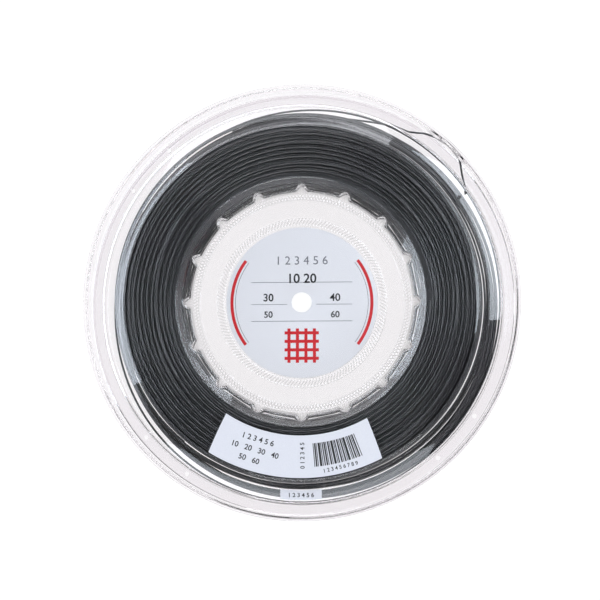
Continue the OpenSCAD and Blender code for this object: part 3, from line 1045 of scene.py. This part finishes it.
def makeTag(spec):
    half, grid = spec["length"] / 2, []
    for r in range(spec["rows"] + 1):
        radius = spec["inner"] + spec["height"] * r / spec["rows"]
        row = [half * (2 * c / spec["columns"] - 1) for c in range(spec["columns"] + 1)]
        height = openHeight(radius) + paper["glue"]
        grid.append([(x, -math.sqrt(radius * radius - x * x), height) for x in row])
    sheetOfPaper("dateSticker", "date_sticker", grid)
    numbersOnArc("dateNumbers", spec["numbers"])


makeSticker(sticker)
makeTag(tag)
print("label and stickers made")


# A pale table, a dim sky and soft lamps: four low ones round the reel and three panels overhead.
studio = {
    "floorSize": 12.0,
    "floorDrop": 0.0002,
    "floorColour": (0.86, 0.86, 0.86),
    "floorGlow": 0.88,       # how much of the table's look is its own even white
    "floorWhite": 1.12,
    "skyHorizon": 0.18,
    "skyZenith": 0.03,
    "skyBand": (0.05, 0.6),  # heights between which the sky fades
    "ambient": 0.12,
    "sideLamps": (           # name, direction, elevation, distance, width, height, radiance, colour
        ("leftSoftbox", 164, 16.5, 0.85, 1.25, 0.42, 4.6, (0.81, 0.91, 1.0)),
        ("rightSoftbox", 32, 28, 0.85, 0.90, 0.24, 4.8, (0.85, 0.93, 1.0)),
        ("backLamp", 100, 13, 1.2, 1.6, 0.42, 3.2, (0.92, 0.96, 1.0)),
        ("frontLamp", 280, 30, 1.2, 1.3, 0.45, 4.0, (0.95, 0.975, 1.0))),
    "panelHeight": 1.5,
    "panels": (              # name, left, right, low and high side as shares of the height, radiance, colour
        ("rightPanel", 0.155, 0.50, 0.055, 0.46, 4.4, (0.84, 0.92, 1.0)),
        ("backPanel", -0.42, 0.145, 0.34, 0.62, 1.7, (0.93, 0.97, 1.0)),
        ("frontPanel", -0.41, 0.25, -0.41, -0.24, 2.2, (0.84, 0.92, 1.0))),
}


def makeFloor(spec):
    half = spec["floorSize"] / 2
    corners = [(x * half, y * half, -spec["floorDrop"]) for x, y in ((-1, -1), (1, -1), (1, 1), (-1, 1))]
    floor = meshObject("table", corners, [(0, 1, 2, 3)])
    material, tree = newMaterial("paleTable")
    matt = addNode(tree, "ShaderNodeBsdfDiffuse", {"Color": (*spec["floorColour"], 1)})
    glow = addNode(tree, "ShaderNodeEmission", {"Color": (1, 1, 1, 1), "Strength": spec["floorWhite"]})
    path = addNode(tree, "ShaderNodeLightPath").outputs
    seen = addMath(tree, "MAXIMUM", path["Is Camera Ray"], path["Is Transmission Ray"])
    seen = addMath(tree, "MAXIMUM", seen, path["Is Glossy Ray"])
    finishMixed(tree, addMath(tree, "MULTIPLY", seen, spec["floorGlow"]), matt, glow)
    floor.data.materials.append(material)


def makeSky(spec):
    world = bpy.data.worlds.new("paleSky")
    world.use_nodes = True
    tree = world.node_tree
    tree.nodes.clear()
    direction = addNode(tree, "ShaderNodeTexCoord").outputs["Generated"]
    height = addNode(tree, "ShaderNodeSeparateXYZ", {0: direction}).outputs["Z"]
    dim = addRange(tree, height, spec["skyHorizon"], spec["skyZenith"], *spec["skyBand"])
    path = addNode(tree, "ShaderNodeLightPath").outputs
    reflected, scattered = (addMath(tree, "GREATER_THAN", path[words + " Depth"], 0.5)
                            for words in ("Glossy", "Diffuse"))
    seen = addNode(tree, "ShaderNodeMix", {0: reflected, 2: 1.0, 3: dim})    # white where seen directly
    strength = addNode(tree, "ShaderNodeMix", {0: scattered, 2: seen, 3: spec["ambient"]})
    sky = addNode(tree, "ShaderNodeBackground", {"Color": (1, 1, 1, 1), "Strength": strength})
    addNode(tree, "ShaderNodeOutputWorld", {"Surface": sky})
    bpy.context.scene.world = world


def makeLamp(name, direction, elevation, distance, width, height, radiance, colour):
    lamp = bpy.data.lights.new(name, "AREA")
    lamp.shape = "RECTANGLE"
    lamp.size, lamp.size_y = width, height
    lamp.energy = math.pi * width * height * radiance
    lamp.color = colour
    holder = placeObject(name, lamp)
    rise = math.radians(elevation)
    back = around(math.radians(direction), math.cos(rise), math.sin(rise))
    holder.location = back * distance
    holder.rotation_euler = back.to_track_quat("Z", "Y").to_euler()
    holder.visible_camera = False
    return holder


def makePanel(name, left, right, low, high, radiance, colour):  # lies level over the reel, facing down
    height = studio["panelHeight"]
    panel = makeLamp(name, 0, 90, height, (right - left) * height, (high - low) * height, radiance, colour)
    panel.location = ((left + right) / 2 * height, (low + high) / 2 * height, height)
    panel.rotation_euler = (0, 0, 0)


makeFloor(studio)
makeSky(studio)
for lamp in studio["sideLamps"]:
    makeLamp(*lamp)
for panel in studio["panels"]:
    makePanel(*panel)
bpy.context.scene.view_settings.view_transform = "Standard"
print("studio lit")
